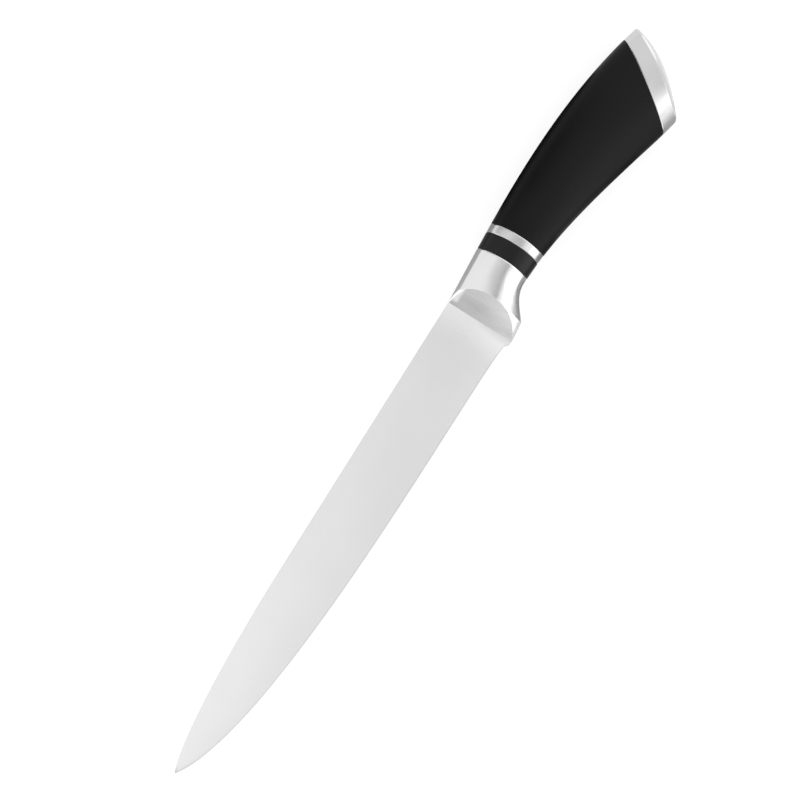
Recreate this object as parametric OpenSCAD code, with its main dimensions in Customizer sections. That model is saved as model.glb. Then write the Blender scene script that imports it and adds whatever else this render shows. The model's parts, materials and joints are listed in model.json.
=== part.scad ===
// Carving knife with a forged bolster, a stacked handle and a steel end cap.
// The knife lies on its side: +X runs to the butt, +Y to the spine and +Z up
// through the thickness. The drawing datum is the line where the blade's spine
// meets the bolster. The finished knife is moved so that its origin lies under
// the middle of its outline.

/* [Blade] */
// Length of the blade from the bolster to the tip
blade_length = 203; // [150:1:260]
// Depth of the blade from spine to edge at the heel
heel_depth = 26.8; // [24:0.1:32]
// How far the tip lies below the line of the spine
tip_drop = 7.3; // [4:0.1:12]
// Length of the curved nose of the spine
nose_length = 86; // [50:1:110]
// Thickness of the blade at the spine beside the bolster, as forged
blade_stock = 2.4; // [2:0.1:3]
// Thickness left behind the cutting edge at the heel
edge_stock = 0.6; // [0.4:0.1:0.9]
// Thickness of the spine at the tip
tip_stock = 1; // [0.8:0.1:1.4]
// Angle of the sharpened bevel on each side
bevel_angle = 16; // [12:1:22]
// Length of the blunt tab between the edge and the bolster
tab_length = 2.4; // [1.5:0.1:4]

/* [Tang] */
// Depth of the tang's axis below the spine, where the blade meets the bolster
tang_depth = 9; // [8:0.1:10]
// Downward tilt of the tang towards the butt
tang_tilt = 5; // [4:0.5:6]
// Height of the flat tang
tang_height = 9; // [8.4:0.1:10]
// Length of the full-height shoulder that sits in the bolster
shoulder_length = 3; // [2:0.1:4]
// Margin between the shoulder and the blade's outline, at spine and edge
shoulder_margin = 2.2; // [1.8:0.1:3]
// Length of the tongue at the tang's end that enters the stud
tongue_length = 8; // [5:0.5:9]
// Height of that tongue
tongue_height = 5; // [4:0.1:5.6]
// Gap all round the tang in the pieces threaded on it
tang_gap = 0.2; // [0.1:0.05:0.3]
// Gap on each side of the shoulder in the bolster's pocket
shoulder_gap = 0.05; // [0.05:0.05:0.15]

/* [Bolster] */
// Length of the bolster along the spine
bolster_length = 23; // [21.5:0.1:28]
// Width across the bolster's cheeks, in front
cheek_width = 16.6; // [15:0.1:18]
// Width of the handle where the bolster ends
neck_width = 17; // [15.5:0.1:18.5]
// How far the finger guard stands out past the blade's heel
guard_drop = 1.3; // [0.8:0.1:3]
// Length of the guard's foot along the finger side
guard_foot = 8.2; // [6:0.1:9]
// Depth of the neck below the spine line, behind the guard
neck_depth = 20.4; // [19:0.1:22]
// Distance from the blade to the slimmest point of the neck
neck_start = 20.5; // [18:0.1:21.4]
// Thickness of the bolster's lip beside the blade
cheek_lip = 0.25; // [0.15:0.05:0.5]
// Length of the scalloped facet on each cheek
scallop_length = 10; // [8:0.1:12]
// Radius of the wheel that grinds the scalloped facet
scallop_radius = 40; // [30:1:60]
// Share of its width by which each cheek narrows towards the guard's foot
guard_taper = 0.6; // [0.5:0.05:0.65]
// Share of the section's height at which the guard is widest
guard_widest = 0.53; // [0.5:0.01:0.54]
// Depth below the spine at which the facet on the front corner starts
corner_depth = 0.3; // [0.1:0.05:0.4]
// Tilt of that facet towards the spine
corner_tilt = 29; // [26:1:40]
// Turn of that facet towards the tip
corner_turn = 22; // [16:1:26]

/* [Handle stack] */
// Length of the black front spacer
spacer_length = 7; // [4:0.1:12]
// Length of the steel ring
ring_length = 3.6; // [2.5:0.1:6]
// Length of the grip along the spine
grip_spine_length = 85.2; // [82:0.1:95]
// Length of the grip along the belly
grip_belly_length = 62.8; // [58:0.1:70]
// Length of the end cap along the spine
cap_spine_length = 6.2; // [6:0.1:9]
// Length of the end cap along the belly
cap_belly_length = 6.8; // [6:0.1:9]
// Bow of the seams between bolster, spacer, ring and grip
front_bow = 1.1; // [0.5:0.1:2]
// Bow of the seam between grip and end cap
cap_bow = 0.5; // [0.3:0.1:1.5]
// Depth of the fine bevel that breaks each piece's edge at a seam
edge_break = 0.15; // [0.05:0.05:0.3]

/* [Handle outline] */
// Height of the bolster's top edge above the blade's spine
spine_step = 0.1; // [0.1:0.05:0.5]
// Distance from the blade to the crest of the handle's back
crest_distance = 59; // [50:1:70]
// Height of that crest above the blade's spine
crest_rise = 2.9; // [1.5:0.1:5]
// Depth of the butt's upper corner below the blade's spine
butt_top_depth = 4.8; // [3:0.1:7]
// Distance from the blade to the point where the belly falls most steeply
palm_distance = 80.7; // [70:0.5:88]
// Depth of the belly at that point
palm_depth = 30.6; // [28:0.1:32]
// Depth of the butt's lower corner below the blade's spine
butt_belly_depth = 36.3; // [35:0.1:39]
// Width of the steel ring across the handle
ring_width = 17.4; // [16:0.1:19]
// Width of the grip where it fills the palm
palm_width = 19; // [17.5:0.1:22]
// Width of the end cap
butt_width = 18.6; // [17:0.1:22]
// Share of the section's height at which the handle is widest
widest = 0.54; // [0.5:0.01:0.56]

/* [End cap] */
// Bow of the butt's end seen from the side
butt_bow = 4.6; // [3:0.1:6]
// Height of the dome across the butt's end
dome_height = 3; // [1.5:0.1:4]
// Thickness of the cap's skirt round the grip's tenon
cap_wall = 1.9; // [1.6:0.1:2.4]
// Length of the tenon that carries the cap
tenon_length = 3.2; // [2:0.1:3.4]
// Gap between tenon and skirt
tenon_gap = 0.1; // [0.05:0.05:0.2]
// Size of the small bevel round the butt's rim
rim_bevel = 0.5; // [0.3:0.1:0.9]

/* [Clamp] */
// Diameter of the stud's thread
stud_diameter = 5; // [4:0.5:5.5]
// Diameter of the stud's socket
socket_diameter = 7.6; // [7:0.1:8.2]
// Length of the stud's socket
socket_length = 11; // [9.5:0.5:13]
// Diameter of the pocket in the grip's rear end
pocket_diameter = 12; // [11.4:0.1:13]
// Depth of the washer's seat below the middle of the cap's seam
pocket_depth = 11; // [10:0.5:14]
// Thickness of the wall in the grip that the washer bears on
seat_wall = 8; // [4:0.5:12]
// Thickness of the flat washer
washer_thickness = 1; // [0.6:0.1:1.4]
// Thickness of the split spring washer, pressed flat
spring_thickness = 1.2; // [0.8:0.1:1.5]
// Outer diameter of the spring washer
spring_diameter = 7.8; // [7.4:0.1:7.9]
// Width of the slit in the spring washer
spring_slit = 0.8; // [0.5:0.1:1.2]
// Width of the nut across its flats
nut_flats = 8; // [8:0.1:9]
// Height of the nut
nut_height = 4; // [3:0.1:4.5]
// Length of thread that stands out of the nut
thread_stand = 1.5; // [0.5:0.1:2]
// Gap round the stud in washers and grip
stud_gap = 0.2; // [0.1:0.05:0.3]
// Resin poured over the end of the thread
resin_cover = 0.8; // [0.5:0.1:1]

/* [Hidden] */
$fn = 96;

// Fullness of the oval sections: 2 is an ellipse, more is squarer
spine_fullness = 2.3;
belly_fullness = 2.1;
guard_fullness = 3.5;
// How the cheeks' narrowing grows towards the guard's foot
taper_growth = 1.9;
// Share of the grip's length at which it fills the palm
palm_share = 0.5;
// Points round a section, and pieces along each curve
ring_points = 44;
edge_steps = 40;
nose_steps = 24;
grip_steps = 26;
guard_steps = 12;
foot_steps = 6;
cap_steps = 4;
back_steps = 200;
// Slopes of the outline where its curves join, rise over run towards the butt
back_slope = 0.06;
butt_slope = -0.27;
palm_slope = -0.26;
heel_slope = -0.19;
foot_slope = 0.105;
// Share of their length to which the curves of spine and edge run, past the tip
past_tip = 1.02;
// Share of the nose's length over which the spine is drawn straight on
nose_share = 0.55;
// Reaches of the blade's and guard's curves, as run and rise from their ends
nose_pull = [7, 3.7];
belly_pull = [32.3, -23.9];
heel_pull = [-10.4, 3.4];
foot_pull = [4.2, 3.4];
neck_pull = [-5, -0.3];
// A length beyond every piece, and a small overlap for clean cuts
beyond = 60;
bite = 1;
// A small step along a curve, as a share of it
near = 0.001;
// Height above the spine to which the sharpened space reaches
roof = 15;

tip = [-blade_length, -tip_drop];
heel = [-tab_length, -heel_depth];
guard_depth = heel_depth + guard_drop;
seam_a = bolster_length;
seam_b = seam_a + spacer_length;
seam_c = seam_b + ring_length;
cap_top_x = seam_c + grip_spine_length;
cap_belly_x = seam_c + grip_belly_length;
butt_top_x = cap_top_x + cap_spine_length;
butt_belly_x = cap_belly_x + cap_belly_length;
// Stations of the washer's seat and the tang's end, along the tang's axis
seat_at = (cap_top_x + cap_belly_x) / 2 - pocket_depth;
socket_at = seat_at - seat_wall - socket_length;
nut_at = seat_at + washer_thickness + spring_thickness;
stud_end = nut_at + nut_height + thread_stand;
// Length over which each piece's edge is broken, also as a share of the grip's
break_run = 2 * edge_break;
break_share = break_run / grip_spine_length;
// Share of the end cap's length at which the bevel round its rim starts
rim_share = 1 - rim_bevel / cap_spine_length;
// Shares of the rim's width at which the dome's surface is drawn
dome_shares = [0.86, 0.7, 0.52, 0.34, 0.16, 0.04];
// Slopes of the blade's ground faces towards the edge and towards the tip
spine_half = blade_stock / 2;
slope_y = (blade_stock - edge_stock) / 2 / heel_depth;
slope_x = (spine_half - slope_y * tip_drop - tip_stock / 2) / blade_length;

function mix(a, b, t) = a + (b - a) * t;
function ease(t) = t * t * (3 - 2 * t);

// Point at t on the cubic curve with ends a and d and handles b and c
function curve(a, b, c, d, t) =
    pow(1 - t, 3) * a + 3 * pow(1 - t, 2) * t * b
    + 3 * (1 - t) * t * t * c + pow(t, 3) * d;

// Height at x of the curve from a to b, each given as [x, height, slope]
function blend(a, b, x) =
    let (run = b[0] - a[0], t = (x - a[0]) / run)
    mix(a[1], b[1], ease(t))
    + run * t * (1 - t) * ((1 - t) * a[2] - t * b[2]);

// Height of the handle's back at x
function back(x) =
    let (
        front = [0, spine_step, back_slope],
        crest = [crest_distance, crest_rise, 0],
        butt = [butt_top_x, -butt_top_depth, butt_slope]
    )
    x < crest_distance ? blend(front, crest, x) : blend(crest, butt, x);

// Height of the handle's belly at x, behind the guard
function belly(x) =
    let (
        neck = [neck_start, -neck_depth, 0],
        palm = [palm_distance, -palm_depth, palm_slope],
        butt = [butt_belly_x, -butt_belly_depth, heel_slope]
    )
    x < palm_distance ? blend(neck, palm, x) : blend(palm, butt, x);

// Outline points of the blade's spine nose and cutting edge
function nose_point(t) =
    let (start = [nose_length - blade_length, 0])
    curve(start, mix(start, [tip[0], 0], nose_share), tip + nose_pull, tip, t);
function edge_point(t) =
    curve(heel, heel + heel_pull, tip + belly_pull, tip, t);
// Unit vector from the edge into the blade at t
function edge_inward(t) =
    let (
        step = edge_point(t + near) - edge_point(t - near),
        way = step / norm(step)
    )
    [way[1], -way[0]];

// Oval section between a point on the back and one on the belly, both [x, y].
// The section bows towards the butt, and shrink draws it in all round. It is
// widest at the share wide of its height and narrows below by the share taper.
function oval(top, bottom, bow, half, fullness, shrink = 0, wide = widest, taper = 0) =
    let (tall = norm(bottom - top), inner = tall - 2 * shrink)
    [for (i = [0 : ring_points - 1])
        let (
            turn = 360 * i / ring_points,
            power = 2 / (cos(turn) > 0 ? spine_fullness : fullness),
            reach = pow(abs(cos(turn)), power),
            share = cos(turn) > 0 ? wide * (1 - reach) : wide + (1 - wide) * reach,
            narrowed = cos(turn) > 0 ? 1 : 1 - taper * pow(reach, taper_growth),
            t = (shrink + share * inner) / tall,
            point = mix(top, bottom, t),
            thick = (half - shrink) * narrowed * pow(abs(sin(turn)), power),
            z = thick * sign(sin(turn))
        )
        [point[0] + bow * 4 * t * (1 - t), point[1], z]];

// Section that stands square to the spine at x
function square_ring(x, half, shrink = 0) =
    oval([x, back(x)], [x, belly(x)], front_bow, half, belly_fullness, shrink);

// Section at a share g of the grip's length, fanning from seam to seam
function grip_half(g) =
    g < palm_share
        ? mix(ring_width, palm_width, ease(g / palm_share)) / 2
        : mix(palm_width, butt_width, ease((g - palm_share) / (1 - palm_share))) / 2;
function grip_ring(g, shrink = 0) =
    let (
        x_top = mix(seam_c, cap_top_x, g),
        x_belly = mix(seam_c, cap_belly_x, g)
    )
    oval([x_top, back(x_top)], [x_belly, belly(x_belly)],
        mix(front_bow, cap_bow, g), grip_half(g), belly_fullness, shrink);

// Section at a share g of the end cap's length
function cap_ring(g, shrink = 0) =
    let (
        x_top = mix(cap_top_x, butt_top_x, g),
        x_belly = mix(cap_belly_x, butt_belly_x, g)
    )
    oval([x_top, back(x_top)], [x_belly, belly(x_belly)],
        mix(cap_bow, butt_bow, g), butt_width / 2, belly_fullness, shrink);

// The cap's last section drawn across by narrow and lowered on to the dome
function dome_ring(g, narrow, shrink = 0) =
    [for (p = cap_ring(g, shrink))
        let (z = p[2] * narrow)
        [p[0] - g * dome_height * pow(2 * z / butt_width, 2), p[1], z]];

// Section of the bolster through a point on its finger side. It is a tapered
// guard up to the end of the foot and turns into the neck's oval behind it.
function bolster_ring(foot) =
    let (
        share = foot[0] / bolster_length,
        run = (foot[0] - guard_foot) / (neck_start - guard_foot),
        turn = ease(min(max(run, 0), 1))
    )
    oval([foot[0], back(foot[0])], foot, front_bow * share,
        mix(cheek_width, neck_width, share) / 2,
        mix(guard_fullness, belly_fullness, turn), 0,
        mix(guard_widest, widest, turn), mix(guard_taper, 0, turn));

// Finger side of the bolster: the guard's foot, its hollow back and the neck
function foot_height(x) = foot_slope * x - guard_depth;
foot_points = [for (i = [0 : foot_steps - 1])
    let (x = guard_foot * i / foot_steps)
    [x, foot_height(x)]];
guard_points = [for (i = [0 : guard_steps])
    let (
        start = [guard_foot, foot_height(guard_foot)],
        end = [neck_start, -neck_depth]
    )
    curve(start, start + foot_pull, end + neck_pull, end, i / guard_steps)];
neck_points = [for (x = [(neck_start + bolster_length) / 2, bolster_length - break_run])
    [x, belly(x)]];

// Solid skinned over a row of sections that are alike above and below z = 0
module loft(rings) {
    count = len(rings[0]);
    last = len(rings) - 1;
    pairs = floor(count / 2);
    sides = [for (j = [0 : last - 1], i = [0 : count - 1])
        let (
            a = j * count + i,
            b = j * count + (i + 1) % count
        )
        each [[a, b + count, b], [a, a + count, b + count]]];
    ends = [for (j = [0, last], i = [0 : pairs - 1])
        let (
            base = j * count,
            a = base + i,
            b = base + i + 1,
            c = base + count - i - 1,
            d = base + (count - i) % count,
            faces = [if (b != c) [a, b, c], if (a != d) [a, c, d]]
        )
        each (j == 0 ? faces : [for (f = faces) [f[0], f[2], f[1]]])];
    points = [for (ring = rings) each ring];
    polyhedron(points = points, faces = concat(sides, ends), convexity = 4);
}

// Handle piece from one section to another with its two edges broken
module stack_piece(x1, x2, width1, width2) {
    loft([
        square_ring(x1, width1 / 2, edge_break),
        square_ring(x1 + break_run, width1 / 2),
        square_ring(x2 - break_run, width2 / 2),
        square_ring(x2, width2 / 2, edge_break)
    ]);
}

// Moves a drawing made about the tang's axis to its place
module on_tang() {
    translate([0, -tang_depth, 0]) rotate([0, 0, -tang_tilt]) children();
}

// Rod of a given diameter along the tang's axis, from one station to another
module rod(diameter, from, to) {
    on_tang()
        translate([from, 0, 0])
        rotate([0, 90, 0])
        cylinder(d = diameter, h = to - from);
}

// Flat bar along the tang's axis
module bar(height, thickness, from, to) {
    on_tang()
        translate([from, -height / 2, -thickness / 2])
        cube([to - from, height, thickness]);
}

// Passage for the tang and for the stud's socket that is threaded through it
module tang_way(from, to) {
    bar(tang_height + 2 * tang_gap, blade_stock + 2 * tang_gap, from, to);
    rod(socket_diameter + 2 * tang_gap, from, to);
}

// What lies between the two ground faces, which slope to the edge and to the
// tip. Grow adds to it on each side, or takes from it if below 0.
module between_faces(grow = 0) {
    normal = sqrt(1 + slope_y * slope_y + slope_x * slope_x);
    reach = 2 * blade_length;
    intersection_for (side = [0, 1])
        mirror([0, 0, side])
        translate([0, 0, spine_half + grow])
        rotate([asin(slope_y / normal), -atan(slope_x), 0])
        translate([-reach, -reach, -beyond])
        cube([2 * reach, 2 * reach, beyond]);
}

// Full-height shoulder behind the blade, which lies a gap below the ground
// faces, or its pocket, which is in line with them
module shoulder(margin, gap) {
    height = heel_depth - 2 * margin;
    intersection() {
        between_faces(-gap);
        translate([-bite, -margin - height, -blade_stock])
            cube([shoulder_length + bite, height, 2 * blade_stock]);
    }
}

// Everything that the sharpening leaves, as a row of sections along the edge
module sharpened_space() {
    // Half the thickness of the space, more than the blade's own
    half = blade_stock;
    run = half / tan(bevel_angle);
    loft([for (i = [edge_steps : -1 : 0])
        let (
            t = past_tip * i / edge_steps,
            e = edge_point(t),
            s = e + run * edge_inward(t)
        )
        [
            [e[0], e[1], 0], [s[0], s[1], -half], [s[0], roof, -half],
            [s[0], roof, half], [s[0], s[1], half]
        ]]);
}

// Side view of the space below the blade's spine, in front of the tab
module below_spine() {
    nose = [for (i = [0 : nose_steps]) nose_point(past_tip * i / nose_steps)];
    polygon(concat([[-tab_length, 0]], nose, [
        [tip[0] - bite, -beyond],
        [-tab_length, -beyond]
    ]));
}

// Blunt tab that joins the heel to the guard, with a hollow corner in front
module tab_outline() {
    foot = guard_depth - cheek_lip;
    difference() {
        translate([-tab_length, -foot]) square([tab_length, foot]);
        translate([-tab_length, -foot])
            circle(r = min(tab_length / 4, foot - heel_depth));
    }
}

module blade() {
    color("#dedede")
    in_place() {
        intersection() {
            between_faces();
            union() {
                intersection() {
                    linear_extrude(beyond, center = true) below_spine();
                    sharpened_space();
                }
                linear_extrude(beyond, center = true) tab_outline();
            }
        }
        shoulder(shoulder_margin, shoulder_gap);
        bar(tang_height, blade_stock, shoulder_length / 2, socket_at);
        bar(tongue_height, blade_stock, socket_at - bite, socket_at + tongue_length);
    }
}

module bolster() {
    color("#cfcfcf")
    in_place() difference() {
        loft([
            for (foot = concat(foot_points, guard_points, neck_points)) bolster_ring(foot),
            square_ring(seam_a, neck_width / 2, edge_break)
        ]);
        // The grinding wheel's path across each cheek, and the corner's facet
        for (side = [0, 1]) mirror([0, 0, side]) {
            scallop();
            front_corner();
        }
        shoulder(shoulder_margin - tang_gap, 0);
        // Slot for the tang, which is threaded through before the stud is welded on
        bar(tang_height + 2 * tang_gap, blade_stock + 2 * tang_gap,
            shoulder_length / 2, bolster_length + beyond);
    }
}

// Cylinder that passes through the blade line and the cheek's full height
module scallop() {
    low = [0, spine_half + cheek_lip];
    high = [scallop_length, cheek_width / 2];
    chord = high - low;
    middle = (low + high) / 2;
    rise = sqrt(pow(scallop_radius, 2) - pow(norm(chord) / 2, 2));
    centre = middle + rise * [-chord[1], chord[0]] / norm(chord);
    translate([centre[0], beyond / 2, centre[1]])
        rotate([90, 0, 0])
        cylinder(r = scallop_radius, h = 2 * beyond, $fn = 240);
}

// Space outside the small facet between scallop and spine
module front_corner() {
    translate([0, -corner_depth, spine_half + cheek_lip])
        rotate([-corner_tilt, -corner_turn, 0])
        translate([-beyond, -beyond, 0])
        cube(2 * beyond);
}

module front_spacer() {
    color("#242424")
    in_place() difference() {
        stack_piece(seam_a, seam_b, neck_width, ring_width);
        tang_way(0, seam_b + beyond);
    }
}

module steel_ring() {
    color("#d6d6d6")
    in_place() difference() {
        stack_piece(seam_b, seam_c, ring_width, ring_width);
        tang_way(0, seam_c + beyond);
    }
}

// Tenon behind the cap's seam, or the space for it when grown by a gap
module tenon(grow, length) {
    start = grip_ring(1, cap_wall + tenon_gap - grow);
    way = [cos(tang_tilt), -sin(tang_tilt), 0];
    loft([
        [for (p = start) p - bite * way],
        [for (p = start) p + length * way]
    ]);
}

module grip() {
    color("#262626")
    in_place() difference() {
        union() {
            loft([
                grip_ring(0, edge_break),
                for (i = [0 : grip_steps])
                    grip_ring(mix(break_share, 1 - break_share, i / grip_steps)),
                grip_ring(1, edge_break)
            ]);
            tenon(0, tenon_length);
        }
        tang_way(0, socket_at);
        rod(socket_diameter + 2 * tang_gap, socket_at - bite, seat_at - seat_wall + stud_gap);
        rod(stud_diameter + 2 * stud_gap, socket_at, seat_at + bite);
        rod(pocket_diameter, seat_at, seat_at + beyond);
    }
}

module tang_stud() {
    color("#b8b8b8")
    in_place() difference() {
        union() {
            rod(socket_diameter, socket_at, socket_at + socket_length);
            rod(stud_diameter, socket_at + bite, stud_end);
        }
        bar(tongue_height, blade_stock, socket_at - bite, socket_at + tongue_length);
    }
}

module thrust_washer() {
    color("#c4c4c4")
    in_place() difference() {
        rod(pocket_diameter - 2 * stud_gap, seat_at, seat_at + washer_thickness);
        rod(stud_diameter + 2 * stud_gap, seat_at - bite, nut_at);
    }
}

module spring_washer() {
    color("#a8a8a8")
    in_place() difference() {
        rod(spring_diameter, seat_at + washer_thickness, nut_at);
        rod(stud_diameter + 2 * stud_gap, seat_at, nut_at + bite);
        on_tang()
            translate([seat_at, 0, -spring_slit / 2])
            cube([nut_at + bite - seat_at, spring_diameter, spring_slit]);
    }
}

module nut_body(from, to) {
    on_tang()
        translate([from, 0, 0])
        rotate([0, 90, 0])
        cylinder(d = nut_flats / cos(30), h = to - from, $fn = 6);
}

module clamp_nut() {
    color("#bcbcbc")
    in_place() difference() {
        nut_body(nut_at, nut_at + nut_height);
        rod(stud_diameter, nut_at - bite, stud_end);
    }
}

module resin_plug() {
    color("#c9b884")
    in_place() difference() {
        rod(pocket_diameter, seat_at + washer_thickness, stud_end + resin_cover);
        rod(spring_diameter, seat_at, nut_at + bite);
        nut_body(nut_at, nut_at + nut_height);
        rod(stud_diameter, seat_at, stud_end);
    }
}

module end_cap() {
    color("#d2d2d2")
    in_place() difference() {
        loft([
            cap_ring(0, edge_break),
            dome_ring(break_run / cap_spine_length, 1),
            for (i = [1 : cap_steps - 1]) dome_ring(i / cap_steps, 1),
            dome_ring(rim_share, 1),
            dome_ring(1, 1, rim_bevel),
            for (narrow = dome_shares) dome_ring(1, narrow, rim_bevel)
        ]);
        tenon(tenon_gap, tenon_length + tenon_gap);
    }
}

// Middle of the whole outline, and half of its greatest width
function least(points, axis) = min([for (p = points) p[axis]]);
function most(points, axis) = max([for (p = points) p[axis]]);
butt_points = dome_ring(1, 0, rim_bevel);
back_points = [for (i = [0 : back_steps]) grip_ring(i / back_steps)[0]];
middle_x = (most(butt_points, 0) - blade_length) / 2;
middle_y = (most(back_points, 1) + least(dome_ring(rim_share, 1), 1)) / 2;
rest_height = max(palm_width, butt_width, ring_width, neck_width, cheek_width) / 2;

module in_place() {
    translate([-middle_x, -middle_y, rest_height]) children();
}

blade();
bolster();
front_spacer();
steel_ring();
grip();
tang_stud();
thrust_washer();
spring_washer();
clamp_nut();
resin_plug();
end_cap();
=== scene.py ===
# %% [markdown]
# # A carving knife with a forged bolster and a stacked handle
#
# The knife lies on its side on a white table and is seen from straight above. Its blade
# was ground and given a satin finish, the bolster was forged and polished, and the black
# handle was moulded. The shapes come from the fixed model of the knife. In this lesson
# they are refined into smooth pieces and given real finishes.

# %% Load the model of the knife
import json
import math

import bpy
from mathutils import Matrix, Vector

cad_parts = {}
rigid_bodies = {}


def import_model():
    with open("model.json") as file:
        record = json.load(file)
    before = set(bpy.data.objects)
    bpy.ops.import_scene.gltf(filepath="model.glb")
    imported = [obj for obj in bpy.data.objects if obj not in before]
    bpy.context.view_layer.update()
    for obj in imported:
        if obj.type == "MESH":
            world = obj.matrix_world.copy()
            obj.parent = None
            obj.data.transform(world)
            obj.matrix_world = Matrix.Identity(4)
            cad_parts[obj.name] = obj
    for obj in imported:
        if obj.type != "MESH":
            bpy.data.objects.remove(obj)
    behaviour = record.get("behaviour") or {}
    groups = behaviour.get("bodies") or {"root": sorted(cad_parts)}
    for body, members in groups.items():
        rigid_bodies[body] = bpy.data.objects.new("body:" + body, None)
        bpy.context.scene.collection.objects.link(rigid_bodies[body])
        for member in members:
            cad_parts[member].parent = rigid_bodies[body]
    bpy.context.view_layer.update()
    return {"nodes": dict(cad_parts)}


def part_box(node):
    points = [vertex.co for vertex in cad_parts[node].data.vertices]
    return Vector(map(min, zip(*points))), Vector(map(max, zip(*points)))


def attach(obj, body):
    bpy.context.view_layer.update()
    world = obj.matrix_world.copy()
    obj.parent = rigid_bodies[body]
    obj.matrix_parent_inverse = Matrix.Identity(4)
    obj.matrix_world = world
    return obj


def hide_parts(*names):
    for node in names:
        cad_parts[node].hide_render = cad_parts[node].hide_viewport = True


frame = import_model()
print("Nodes of the model:", sorted(frame["nodes"]))

# %% [markdown]
# ## Places on the knife
#
# A knife maker measures from the line where the blade's spine meets the bolster. Here x
# runs back to the butt, y out from the spine and z up from the middle of the blade's
# thickness, all in millimetres, so the edge and the finger side have a negative y. The
# bolster's front and the blade's spine give that line. One function turns such a place
# into the scene's metres, so every later place is one that could be read off a real
# knife with a ruler.

# %% A place on the knife
bolster_low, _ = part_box("bolster")
blade_low, blade_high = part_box("blade")
datum = Vector((bolster_low.x, blade_high.y, (blade_low.z + blade_high.z) / 2))
mm_per_metre = 1000


def on_knife(x, y, z=0.0):
    """Turn millimetres from the bolster line into the scene's metres."""
    return datum + Vector((x, y, z)) / mm_per_metre


print("The bolster line is at", tuple(round(value, 5) for value in datum), "metres")

# %% [markdown]
# ## The camera
#
# The photograph is taken from straight above with a long lens, and the knife lies
# aslant in the picture. The picture is square and 299 mm wide at the knife. A long lens
# far away keeps the knife's outline free of perspective. The camera leans a little
# towards the tip, which lets the seams of the handle bow as they do in the photograph.

# %% Set up the camera
picture_width = 0.299
lens_distance = 1.25
sensor = 36.0
slant = math.radians(57.8)
lean = math.radians(2.0)
picture_middle = on_knife(-40.5, -4.2)

camera_data = bpy.data.cameras.new("camera")
camera_data.sensor_width = sensor
camera_data.lens = sensor * lens_distance / picture_width
camera = bpy.data.objects.new("camera", camera_data)
bpy.context.scene.collection.objects.link(camera)
bpy.context.scene.camera = camera

back = Vector((-math.sin(lean), 0, math.cos(lean)))
right = Vector((math.cos(slant), -math.sin(slant), 0))
up = back.cross(right).normalized()
right = up.cross(back)
camera.matrix_world = Matrix((right, up, back)).transposed().to_4x4()
camera.location = picture_middle + back * lens_distance
print("The lens of", round(camera_data.lens, 1), "mm looks from", tuple(camera.location))

# %% [markdown]
# ## Colours and nodes
#
# Colours are picked on a screen as hex numbers, but light adds up in linear values, so
# one function turns one into the other. A second one adds a node to a material, sets
# what it needs and links its inputs, and a third joins two values of a material into
# one. Each finish below is built from these three.


# %% Three helpers for finishes
def linear(hex_colour):
    """Turn a hex colour as seen on a screen into linear red, green, blue and alpha."""
    channels = [int(hex_colour[i:i + 2], 16) / 255 for i in (1, 3, 5)]
    return [c / 12.92 if c <= 0.04045 else ((c + 0.055) / 1.055) ** 2.4 for c in channels] + [1]


def add(tree, kind, settings=(), links=()):
    """Add a node with its properties and sockets set and its inputs linked."""
    node = tree.nodes.new(kind)
    for name, value in dict(settings).items():
        if isinstance(name, int) or name in node.inputs:
            node.inputs[name].default_value = value
        else:
            setattr(node, name, value)
    for name, source in dict(links).items():
        tree.links.new(source, node.inputs[name])
    return node


def combine(tree, operation, first, second):
    """Join two values by an operation such as MULTIPLY or MAXIMUM."""
    return add(tree, "ShaderNodeMath", {"operation": operation}, {0: first, 1: second}).outputs[0]


print("A middle grey of #808080 is", round(linear("#808080")[0], 3), "in linear light")

# %% [markdown]
# ## A finish and its patterns
#
# A finish starts from one shader. What makes it real are small changes over the surface,
# and they follow a pattern. A pattern painted on an image would do, but it would stretch
# over the curves. One that is worked out from its place on the object fits every shape.


# %% Start a finish and lay a pattern
def new_finish(name, colour, metallic, roughness):
    """Start a material and return it with its node tree and its shader."""
    finish = bpy.data.materials.new(name)
    finish.use_nodes = True
    finish_shader = finish.node_tree.nodes["Principled BSDF"]
    finish_shader.inputs["Base Color"].default_value = linear(colour)
    finish_shader.inputs["Metallic"].default_value = metallic
    finish_shader.inputs["Roughness"].default_value = roughness
    return finish, finish.node_tree, finish_shader


def pattern(tree, kind, repeats, settings=()):
    """Lay a texture over the object that repeats so often per metre along x, y and z."""
    place = add(tree, "ShaderNodeTexCoord")
    stretch = add(tree, "ShaderNodeMapping", {"Scale": repeats}, {"Vector": place.outputs["Object"]})
    return add(tree, kind, {"Scale": 1.0, **dict(settings)}, {"Vector": stretch.outputs[0]})


print("A finish starts from one shader and is varied by patterns")

# %% [markdown]
# ## Three ways to vary a finish
#
# A pattern makes the colour a little darker here and lighter there, changes how dull the
# surface is, and raises or sinks it by a hair. And no polished edge is perfectly sharp:
# rounding it by a fraction of a millimetre lets it catch the light.


# %% Vary colour, roughness and height
def vary_colour(tree, colour, source, low, high, second_tone=None):
    """Let a pattern, and a second tone if given, make the colour a little darker or lighter."""
    dark_to_light = add(tree, "ShaderNodeMapRange", {"To Min": low, "To Max": high}, {"Value": source})
    tone = dark_to_light.outputs[0]
    if second_tone:
        tone = combine(tree, "MULTIPLY", tone, second_tone)
    # A mix of colours has its factor and colours at inputs 0, 6 and 7, its result at output 2.
    mixed = add(tree, "ShaderNodeMix", {"data_type": "RGBA", "blend_type": "MULTIPLY", 0: 1.0,
                                        6: linear(colour)}, {7: tone})
    tree.links.new(mixed.outputs[2], tree.nodes["Principled BSDF"].inputs["Base Color"])


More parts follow.
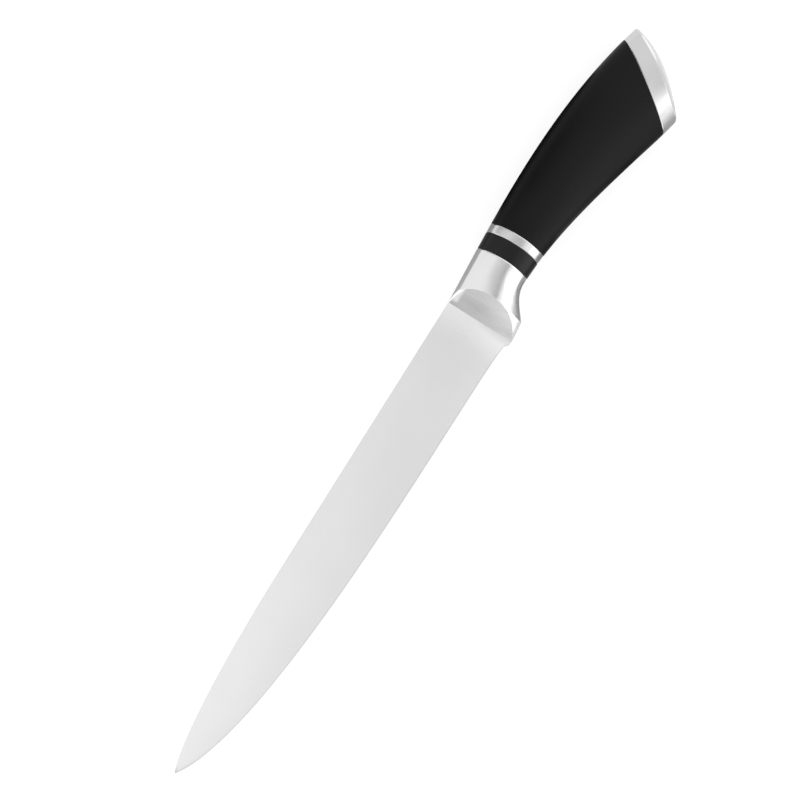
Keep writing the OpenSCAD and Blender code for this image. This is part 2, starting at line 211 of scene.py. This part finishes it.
def vary_roughness(tree, source, low, high):
    """Let a pattern make the surface duller or brighter."""
    dull = add(tree, "ShaderNodeMapRange", {"To Min": low, "To Max": high}, {"Value": source})
    tree.links.new(dull.outputs[0], tree.nodes["Principled BSDF"].inputs["Roughness"])


def emboss(tree, source, strength, height, edge_radius=0.0):
    """Let a pattern raise the surface by up to a height in metres, and round its edges."""
    relief = add(tree, "ShaderNodeBump", {"Strength": strength, "Distance": height},
                 {"Height": source})
    if edge_radius:
        rounded = add(tree, "ShaderNodeBevel", {"samples": 8, "Radius": edge_radius})
        tree.links.new(rounded.outputs[0], relief.inputs["Normal"])
    tree.links.new(relief.outputs[0], tree.nodes["Principled BSDF"].inputs["Normal"])


print("Three functions vary a finish: its colour, its roughness and its height")

# %% [markdown]
# ## Painted light that changes along the knife
#
# Light falls more brightly on one end of a piece than on the other, and here that is
# painted into the colour: a tone goes slowly from one value to another between two marks
# of the knife maker's ruler. One function does it along any of the three axes, which
# needs no image painted by hand.


# %% Change a tone along the knife
def change_along(tree, axis, start, end, low, high):
    """Give a value that goes from low to high between two millimetre marks along an axis."""
    axis_number = "XYZ".index(axis)
    place = add(tree, "ShaderNodeTexCoord")
    parts = add(tree, "ShaderNodeSeparateXYZ", (), {0: place.outputs["Object"]})
    change = add(tree, "ShaderNodeMapRange",
                 {"interpolation_type": "SMOOTHSTEP",
                  "From Min": on_knife(start, start, start)[axis_number],
                  "From Max": on_knife(end, end, end)[axis_number],
                  "To Min": low, "To Max": high}, {"Value": parts.outputs[axis]})
    return change.outputs[0]


print("The 10 mm mark behind the bolster line is at x =", round(on_knife(10, 0).x, 5), "metres")

# %% [markdown]
# ## Brightness that is a thing's own
#
# A white ground in a picture is brighter than white paper under plain light. So that the
# lamps needn't be turned up for it, table and room shine by themselves, but only for
# what looks at them directly or through a mirror or glass. Three questions to the light
# path, joined by the greatest of their answers, tell these rays from the rest.


# %% Which rays look straight at a thing
def looked_at(tree):
    """Give 1 for camera, mirror and glass rays and 0 for all others."""
    path = add(tree, "ShaderNodeLightPath").outputs
    either = combine(tree, "MAXIMUM", path["Is Camera Ray"], path["Is Glossy Ray"])
    return combine(tree, "MAXIMUM", either, path["Is Transmission Ray"])


print("Camera, mirror and glass rays are told from the rest")

# %% [markdown]
# ## The table
#
# The table is a wide matt sheet just under the knife. It takes the knife's shadow like
# any paper. The photograph's ground is pure white with hardly a shadow. White paper would
# need more light for that than the knife can bear, so the sheet is grey and glows.

# %% Lay the table
table_size = 6
table_drop = 0.0003
table_glow = 0.8
white = (1, 1, 1, 1)
bpy.ops.object.select_all(action="DESELECT")
bpy.ops.mesh.primitive_plane_add(size=table_size, location=(0, 0, -table_drop))
table = bpy.context.active_object
table.name = "table"
paper, tree, shader = new_finish("white_matt_paper", "#989898", metallic=0, roughness=0.9)
shader.inputs["Specular IOR Level"].default_value = 0
glow = add(tree, "ShaderNodeMath", {"operation": "MULTIPLY", 1: table_glow}, {0: looked_at(tree)})
shader.inputs["Emission Color"].default_value = white
tree.links.new(glow.outputs[0], shader.inputs["Emission Strength"])
table.data.materials.append(paper)
print("The table is", table.dimensions.x, "metres wide")

# %% [markdown]
# ## The room's light
#
# A white room lights the knife evenly. For the camera and for mirrors it is plain white,
# and for matt surfaces it gives a part of the light, which the lamp fills up to the level
# at which a colour looks as it was picked.

# %% Light the room
room_light = 0.85
room_seen = 1.0
room = bpy.data.worlds.new("white_room")
bpy.context.scene.world = room
room.use_nodes = True
tree = room.node_tree
level = add(tree, "ShaderNodeMapRange", {"To Min": room_light, "To Max": room_seen},
            {"Value": looked_at(tree)})
tree.nodes["Background"].inputs["Color"].default_value = white
tree.links.new(level.outputs[0], tree.nodes["Background"].inputs["Strength"])
bpy.context.scene.view_settings.view_transform = "Standard"
print("The room's light on matt surfaces is", room_light)

# %% [markdown]
# ## The lamp
#
# One large soft box hangs on the finger side and faces the table behind the butt. It
# makes the white streak that runs along bolster, ring and cap, where small lamps would
# leave spots. It reaches forward to the cap and no further, because the blade's ground
# face would turn white under it.


# %% Hang the soft box
def facing(place, target):
    """Stand at one place on the knife and face another, with one side along the knife."""
    stand = on_knife(*place)
    out = (stand - on_knife(*target)).normalized()
    across = out.cross(Vector((1, 0, 0))).normalized()
    return Matrix.Translation(stand) @ Matrix((across.cross(out), across, out)).transposed().to_4x4()


def swung(x, y, reach, angle):
    """Go from a place on the knife at an angle from upright, towards the spine if positive."""
    tilt = math.radians(angle)
    return x, y + reach * math.sin(tilt), reach * math.cos(tilt)


box_along, box_across, box_radiance = 0.6, 0.62, 0.9
box_target, box_reach, box_angle = (400, -9), 800, -49
lamp_data = bpy.data.lights.new("soft_box", "AREA")
lamp_data.shape = "RECTANGLE"
lamp_data.size, lamp_data.size_y = box_along, box_across
lamp_data.energy = box_radiance * math.pi * box_along * box_across
soft_box = bpy.data.objects.new("soft_box", lamp_data)
bpy.context.scene.collection.objects.link(soft_box)
soft_box.matrix_world = facing(swung(*box_target, box_reach, box_angle), box_target)
soft_box.visible_camera = False
print("The soft box has", round(lamp_data.energy, 2), "watts")

# %% [markdown]
# ## Cards for the grey streak
#
# Polished steel shows what stands round it. In a white room it would look like paper, so
# a photographer hangs grey cards round it, and white ones where an edge should flash.
# Here the cards are seen in reflections alone, so they can hang close to the knife and
# neither shade it nor block a view. A card's place, the place it faces and its size are
# in millimetres. Its brightness is compared with the room's, which is 1, and a fade
# tells how much it grows from one end to the other, along the card and across it.
#
# The first two draw the grey streak beside the white one: a large card hangs round the
# lens and a small one close over the neck.


# %% Hang the cards for the grey streak
def hang_card(name, place, target, size, brightness, fade=(0, 0)):
    """Hang a card that only reflections see and that may grow brighter along or across."""
    along, across = (side / mm_per_metre for side in size)
    bpy.ops.object.select_all(action="DESELECT")
    bpy.ops.mesh.primitive_plane_add(size=1)
    card = bpy.context.active_object
    card.name = name
    card.matrix_world = facing(place, target) @ Matrix.Diagonal((along, across, 1, 1))
    card_paint = bpy.data.materials.new(name + "_paint")
    card_paint.use_nodes = True
    paint_tree = card_paint.node_tree
    paint_tree.nodes.clear()
    spot = add(paint_tree, "ShaderNodeTexCoord")
    change = add(paint_tree, "ShaderNodeVectorMath", {"operation": "DOT_PRODUCT", 1: (*fade, 0)},
                 {0: spot.outputs["Object"]})
    total = add(paint_tree, "ShaderNodeMath", {"operation": "ADD", 1: brightness},
                {0: change.outputs["Value"]})
    lit = add(paint_tree, "ShaderNodeMath", {"operation": "MAXIMUM", 1: 0.0}, {0: total.outputs[0]})
    shine = add(paint_tree, "ShaderNodeEmission", (), {"Strength": lit.outputs[0]})
    add(paint_tree, "ShaderNodeOutputMaterial", (), {"Surface": shine.outputs[0]})
    card.data.materials.append(card_paint)
    card.visible_camera = card.visible_diffuse = card.visible_shadow = False
    card.visible_transmission = card.visible_volume_scatter = False
    print(name, "is", size[0], "by", size[1], "mm")


hang_card("card_round_the_lens", (186, -77, 1600), (186, -77), (210, 720), 0.66)
hang_card("card_over_the_neck", (21.5, -8, 80), (21.5, -8), (29, 54), 0.63, fade=(-0.2, 0.56))

# %% [markdown]
# ## Cards on the table
#
# The flanks of a rounded piece look down on the table. Cards that lie there beside the
# knife draw a darker line along the spine, and others under the belly draw one along the
# belly. One long card would make a line of one tone. Several short ones let it be lighter
# at both ends of the handle and darkest at the grip.

# %% Lay the cards on the table
table_level, high_above = -9, 90
spine_row, belly_row = 54, -76
# Each card has a name, a mark along the knife, a row, a size, a brightness and a fade.
table_cards = (
    ("card_beside_the_bolster", 13, spine_row, (56, 100), 0.46, (-0.25, 0)),
    ("card_beside_the_grip", 74, spine_row, (66, 100), 0.02, (0, 0)),
    ("card_beside_the_cap", 122, spine_row, (30, 100), 1.0, (0, 0)),
    ("card_under_the_guard", 0, belly_row, (24, 100), 0.8, (0, 0)),
    ("card_under_the_neck", 17.5, belly_row, (11, 100), 0.7, (-0.6, 0.6)),
    ("card_under_the_ring", 32, belly_row, (18, 100), 0.3, (-0.3, 0)),
    ("card_under_the_grip", 62, belly_row, (42, 120), 0.42, (-0.6, 0)),
    ("card_under_the_palm", 91, belly_row, (16, 120), 0.5, (0, 0)),
    ("card_under_the_cap", 106, belly_row, (14, 100), 0.55, (0, 0)),
)
for name, mark, row, size, brightness, fade in table_cards:
    hang_card(name, (mark, row, table_level), (mark, row, high_above), size, brightness, fade)

# %% [markdown]
# ## Cards for grip, scallop and nose
#
# A card over the grip keeps the sheen off the plastic's spine side. A large one before
# the tip greys the scallop, which looks forward, and a small dark one greys its lower
# rim. One over the edge dims the bevel of the blade's nose.

# %% Hang the cards for grip, scallop and nose
hang_card("card_over_the_grip", (78, 57, 70), (78, 57), (66, 285), 0.15, fade=(0, -3.5))
hang_card("card_before_the_tip", (-780, -12, 450), (5, -12), (600, 700), 0.76, fade=(-0.34, 0))
hang_card("card_over_the_edge", swung(-120, -26, 800, -34), (-120, -26), (400, 200), 0.7)
hang_card("card_for_the_crest", (-470, -410, 512), (10, -18), (200, 200), 0.3)

# %% [markdown]
# ## White cards
#
# One white card brightens the bolster's corner at the spine. Three cards stand on the
# finger side and light the belly from the guard to the cap. The one along the guard ends
# before the blade, and a card as bright as the room shields the blade from all three.
# Without it the blade, seen from behind, would shine like the white table and melt into
# it. The last two make the bevels at the seams and the rim behind the butt flash.

# %% Hang the white cards
hang_card("white_card_for_the_corner", (-420, 630, 260), (5, -1), (300, 300), 1.5)
hang_card("white_card_along_the_guard", (13.5, -150, 60), (13.5, 0, 60), (17, 120), 2.2)
hang_card("white_card_along_the_grip", (51, -150, 60), (51, 0, 60), (30, 120), 2.4)
hang_card("card_along_the_cap", (93, -150, 41), (93, 0, 41), (52, 100), 1.0, fade=(0, 1.0))
hang_card("card_shielding_the_blade", (4, -97, 60), (-100, -98, 60), (105, 120), room_seen)
hang_card("white_card_for_the_seams", (660, -10, 480), (25, -10), (300, 500), 1.5)
hang_card("white_card_behind_the_butt", (500, -15, 150), (120, -15), (300, 300), 1.6)

# %% [markdown]
# ## Steel that was ground
#
# The blade is stainless steel, ground flat on a wet stone and then glazed on a fine belt
# across its width. The belt leaves hair-fine lines from spine to edge. They are closer
# than 0.1 mm, too fine for the picture, so they are drawn 0.35 mm apart and faint. Light
# and shade are painted into the colour: it is a little lighter towards the tip and darker
# towards the heel and the edge, as painted shade, and a narrow strip just before the
# bolster gets a painted highlight.

# %% Satin blade steel
blade_colour = "#E8E8E8"
lines_per_metre = 1 / 0.00035
bends_per_metre = 22
haze_per_metre = 45
blade_steel, tree, _ = new_finish("satin_ground_stainless_steel", blade_colour, metallic=1, roughness=0.3)
belt = pattern(tree, "ShaderNodeTexNoise", (lines_per_metre, bends_per_metre, bends_per_metre),
               {"Detail": 3, "Roughness": 0.6})
haze = pattern(tree, "ShaderNodeTexNoise", (haze_per_metre,) * 3, {"Detail": 2})
# Painted light and shade: lighter near the tip, darker towards heel and edge, and a painted highlight
# just before the bolster.
painted_light_along_blade = change_along(tree, "X", -190, -60, 1.03, 0.94)
painted_highlight_by_bolster = change_along(tree, "X", -14, 0, 1.0, 1.18)
painted_shade_towards_edge = change_along(tree, "Y", -24, 0, 0.97, 1.04)
painted_blade_light_and_shade = combine(tree, "MULTIPLY", combine(tree, "MULTIPLY", painted_light_along_blade, painted_highlight_by_bolster), painted_shade_towards_edge)
vary_colour(tree, blade_colour, haze.outputs["Fac"], 0.95, 1.02, painted_blade_light_and_shade)
vary_roughness(tree, belt.outputs["Fac"], 0.2, 0.3)
emboss(tree, belt.outputs["Fac"], 0.05, 0.00005)
print("The blade's ground lines are", round(mm_per_metre / lines_per_metre, 2), "mm apart")

# %% [markdown]
# ## Steel that was forged and polished
#
# Bolster, ring and cap were polished on a soft wheel. The wheel leaves very faint waves,
# about 8 mm long and 1 mm wide, and a haze in clouds of 6 mm, which keep the reflections
# from looking like those of glass. Their edges are rounded by 0.3 mm in the finish, since
# a modelled rounding would cost many faces. Ring and cap are of a slightly greyer steel
# than the bolster.

# %% Polished steel
clouds_per_metre = 180
waves_along, waves_across = 120, 900
polished_edge = 0.0003


def wheel_polished(name, colour, bright, dull):
    """Polished steel whose roughness wanders between two values."""
    finish, finish_tree, _ = new_finish(name, colour, metallic=1, roughness=(dull + bright) / 2)
    cloud = pattern(finish_tree, "ShaderNodeTexNoise", (clouds_per_metre,) * 3, {"Detail": 4})
    wave = pattern(finish_tree, "ShaderNodeTexNoise", (waves_along, waves_across, waves_across),
                   {"Detail": 3})
    vary_colour(finish_tree, colour, cloud.outputs["Fac"], 0.96, 1.02)
    vary_roughness(finish_tree, cloud.outputs["Fac"], bright, dull)
    emboss(finish_tree, wave.outputs["Fac"], 0.04, 0.00004, polished_edge)
    print(name, "is polished to a roughness of", bright, "to", dull)
    return finish


bolster_steel = wheel_polished("polished_forged_steel", "#E8E8E8", 0.16, 0.28)
ring_steel = wheel_polished("polished_ring_steel", "#D6D6D6", 0.18, 0.28)
cap_steel = wheel_polished("polished_cap_steel", "#CFCFCF", 0.16, 0.26)

# %% [markdown]
# ## Steel that was ground and left so
#
# The scallop on each cheek was ground with a small wheel and not polished, so it is
# duller than the rest of the bolster and its tone wanders. The wheel left soft marks,
# about 2 mm wide and 10 mm long, which run from the spine to the guard's foot. Light is
# painted into the colour, which grows lighter towards the foot, and the corner by the
# spine gets a painted highlight, so it is the brightest part.

# %% Ground scallop steel
scallop_colour = "#DCDCDC"
marks_across, marks_along = 1 / 0.004, 1 / 0.02
scallop_steel, tree, _ = new_finish("wheel_ground_steel", scallop_colour, metallic=1, roughness=0.3)
marks = pattern(tree, "ShaderNodeTexNoise", (marks_across, marks_along, marks_across), {"Detail": 2})
# Painted light: the colour grows lighter towards the foot, and a painted highlight brightens the corner
# by the spine.
painted_light_towards_foot = change_along(tree, "Y", -8, -24, 0.9, 1.13)
painted_highlight_by_spine = change_along(tree, "Y", -3.6, -1.9, 0.0, 0.56)
off_the_blade = change_along(tree, "X", 1.0, 2.2, 0.0, 1.0)
corner = combine(tree, "MULTIPLY", painted_highlight_by_spine, off_the_blade)
painted_scallop_light = add(tree, "ShaderNodeMath", {"operation": "MULTIPLY_ADD"},
             {0: corner, 1: painted_light_towards_foot, 2: painted_light_towards_foot})
vary_colour(tree, scallop_colour, marks.outputs["Fac"], 0.8, 1.18, painted_scallop_light.outputs[0])
vary_roughness(tree, marks.outputs["Fac"], 0.22, 0.32)
emboss(tree, marks.outputs["Fac"], 0.15, 0.00008, polished_edge)
print("The scallop's marks come every", mm_per_metre / marks_across, "mm")

# %% [markdown]
# ## Black moulded plastic
#
# Grip and spacer are a hard, slippery plastic, moulded black all through. Its mould was
# lightly blasted, so it looks semi-matt: a broad, dim sheen on the side that faces the
# light and a deep black elsewhere. The blasting is a fine, soft orange peel of 0.25 mm,
# and the sheen wanders over patches of 17 mm. The spacer was polished with the steel
# beside it and shines a little more.

# %% Black plastics
black = "#0F0F0F"
peel_per_metre, patches_per_metre = 4000, 60


def black_acetal(name, bright, dull, shine):
    """Black plastic between two values of roughness, with a level of shine."""
    finish, finish_tree, finish_shader = new_finish(name, black, metallic=0, roughness=dull)
    finish_shader.inputs["IOR"].default_value = 1.48
    finish_shader.inputs["Specular IOR Level"].default_value = shine
    peel = pattern(finish_tree, "ShaderNodeTexNoise", (peel_per_metre,) * 3, {"Detail": 2})
    patches = pattern(finish_tree, "ShaderNodeTexNoise", (patches_per_metre,) * 3, {"Detail": 3})
    vary_colour(finish_tree, black, patches.outputs["Fac"], 0.85, 1.15)
    vary_roughness(finish_tree, patches.outputs["Fac"], bright, dull)
    emboss(finish_tree, peel.outputs["Fac"], 0.12, 0.00004)
    print(name, "is moulded with a shine of", shine)
    return finish


grip_plastic = black_acetal("blasted_black_acetal", 0.36, 0.48, 0.16)
spacer_plastic = black_acetal("polished_black_acetal", 0.26, 0.36, 0.3)

# %% [markdown]
# ## What is hidden in the handle
#
# Stud, washers and nut are zinc-plated, and the resin that locks them set to a honey
# colour. Nobody sees them in the finished knife, but whoever takes the model apart should
# find real finishes there too: fine spangles of about 1 mm on the zinc, and slow waves of
# 3 mm in the resin, as it was poured and not pressed.

# %% Zinc and resin
zinc_colour, spangles_per_metre = "#B9BCC0", 900
zinc, tree, _ = new_finish("zinc_plated_steel", zinc_colour, metallic=1, roughness=0.35)
spangle = pattern(tree, "ShaderNodeTexVoronoi", (spangles_per_metre,) * 3)
vary_colour(tree, zinc_colour, spangle.outputs["Distance"], 0.95, 1.05)
vary_roughness(tree, spangle.outputs["Distance"], 0.28, 0.45)
emboss(tree, spangle.outputs["Distance"], 0.1, 0.00002)

resin_colour, waves_per_metre = "#B89A58", 300
resin, tree, shader = new_finish("cured_epoxy_resin", resin_colour, metallic=0, roughness=0.25)
shader.inputs["IOR"].default_value = 1.55
flow = pattern(tree, "ShaderNodeTexNoise", (waves_per_metre,) * 3, {"Detail": 3})
vary_colour(tree, resin_colour, flow.outputs["Fac"], 0.85, 1.1)
vary_roughness(tree, flow.outputs["Fac"], 0.2, 0.3)
emboss(tree, flow.outputs["Fac"], 0.2, 0.0001)

hidden_finishes = {"tang_stud": zinc, "thrust_washer": zinc, "spring_washer": zinc,
                   "clamp_nut": zinc, "resin_plug": resin}
for name, finish in hidden_finishes.items():
    frame["nodes"][name].data.materials.clear()
    frame["nodes"][name].data.materials.append(finish)
    print(name, "is finished in", finish.name)

# %% [markdown]
# ## From loose triangles to one skin
#
# The model's nodes are loose triangles, exact but faceted. A piece that is modelled anew
# would only come close to them. So a copy of the node is merged into one skin, and its
# triangles are joined to quads, which subdivide more evenly. The original stays untouched.

# %% Copy a node as one skin
same_place = 0.000002
flat_enough, square_enough = math.radians(12), math.radians(60)


def select_only(piece):
    """Deselect everything, then select one piece and make it the active one."""
    bpy.ops.object.select_all(action="DESELECT")
    piece.select_set(True)
    bpy.context.view_layer.objects.active = piece


def merged_copy(node_name, name):
    """Copy a node as one closed skin of quads and triangles."""
    select_only(frame["nodes"][node_name])
    bpy.ops.object.duplicate()
    piece = bpy.context.active_object
    piece.name = name
    select_only(piece)
    bpy.ops.object.parent_clear(type="CLEAR_KEEP_TRANSFORM")
    bpy.ops.object.transform_apply(location=True, rotation=True, scale=True)
    bpy.ops.mesh.customdata_custom_splitnormals_clear()
    bpy.ops.object.mode_set(mode="EDIT")
    bpy.ops.mesh.select_mode(type="VERT")
    bpy.ops.mesh.select_all(action="SELECT")
    bpy.ops.mesh.remove_doubles(threshold=same_place)
    bpy.ops.mesh.tris_convert_to_quads(face_threshold=flat_enough, shape_threshold=square_enough)
    bpy.ops.object.mode_set(mode="OBJECT")
    piece.data.materials.clear()
    return piece


print("Corners within", round(same_place * mm_per_metre, 4), "mm of each other are merged")

# %% [markdown]
# ## Rounded off and handed over
#
# Where faces meet at more than 20 degrees, the edge is truly sharp. It is creased, so that
# subdivision rounds the rest and leaves it crisp, and it isn't shaded smooth. A finished
# piece gets its steel or plastic, belongs to the knife's only body and stands for the
# node that it was copied from.

# %% Round a piece off and hand it over
sharp_angle = math.radians(20)
smooth_levels = 2


def round_off(piece):
    """Subdivide a piece so that its curves are smooth and its sharp edges stay."""
    select_only(piece)
    bpy.ops.object.mode_set(mode="EDIT")
    bpy.ops.mesh.select_mode(type="EDGE")
    bpy.ops.mesh.select_all(action="DESELECT")
    bpy.ops.mesh.edges_select_sharp(sharpness=sharp_angle)
    bpy.ops.transform.edge_crease(value=1)
    bpy.ops.object.mode_set(mode="OBJECT")
    smooth = piece.modifiers.new("smooth", "SUBSURF")
    smooth.levels = smooth.render_levels = smooth_levels
    bpy.ops.object.modifier_apply(modifier=smooth.name)


def hand_over(piece, node_name, finish):
    """Give a piece its finish and let it stand for its node."""
    select_only(piece)
    piece.data.materials.append(finish)
    bpy.ops.object.shade_smooth_by_angle(angle=sharp_angle)
    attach(piece, "root")
    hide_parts(node_name)
    print(piece.name, "has", len(piece.data.polygons), "faces")


print("Edges of more than", round(math.degrees(sharp_angle)), "degrees stay sharp")

# %% [markdown]
# ## The blade
#
# The blade is a long wedge: flat ground faces that thin towards edge and tip, and a fine
# bevel that makes the edge. All its faces are plane, so it needs no subdivision.

# %% Make the blade
blade = merged_copy("blade", "ground_blade")
hand_over(blade, "blade", blade_steel)

# %% [markdown]
# ## The bolster
#
# The bolster is forged in one lump and ground to shape. Its cheeks swell from the oval
# neck to the flared guard, and a wheel cuts a scallop into each. Its faces are fine
# enough to look smooth as they are. Those of the scallop are the only ones in its first
# 12 mm that look aslant to the tip and not to spine or edge, so they can be found by
# their direction and given the ground finish.

# %% Make the bolster
scallop_end = on_knife(12, 0).x
most_forward, least_forward, most_sideways = -0.8, -0.3, 0.15
bolster = merged_copy("bolster", "forged_bolster")
hand_over(bolster, "bolster", bolster_steel)
bolster.data.materials.append(scallop_steel)
scallop_faces = [face for face in bolster.data.polygons
                 if most_forward < face.normal.x < least_forward
                 and abs(face.normal.y) < most_sideways
                 and face.center.x < scallop_end]
for face in scallop_faces:
    face.material_index = 1
print("The scallops have", len(scallop_faces), "faces")

# %% [markdown]
# ## Spacer, ring and grip
#
# These three are threaded on the tang behind the bolster. They are ground and moulded
# ovals with a fine bevel at each seam. Their curved sides would show facets in a sheen,
# so they are subdivided, and the bevels are creased and stay crisp.

# %% Make the stack of the handle
spacer = merged_copy("front_spacer", "black_spacer")
round_off(spacer)
hand_over(spacer, "front_spacer", spacer_plastic)
ring = merged_copy("steel_ring", "polished_ring")
round_off(ring)
hand_over(ring, "steel_ring", ring_steel)
grip = merged_copy("grip", "moulded_grip")
round_off(grip)
hand_over(grip, "grip", grip_plastic)

# %% [markdown]
# ## The end cap
#
# The cap closes the slanted butt. It is a cast shell with a shallow dome on its end and
# a small bevel round the rim, and it is rounded off like the three pieces before it.

# %% Make the end cap
cap = merged_copy("end_cap", "polished_cap")
round_off(cap)
hand_over(cap, "end_cap", cap_steel)
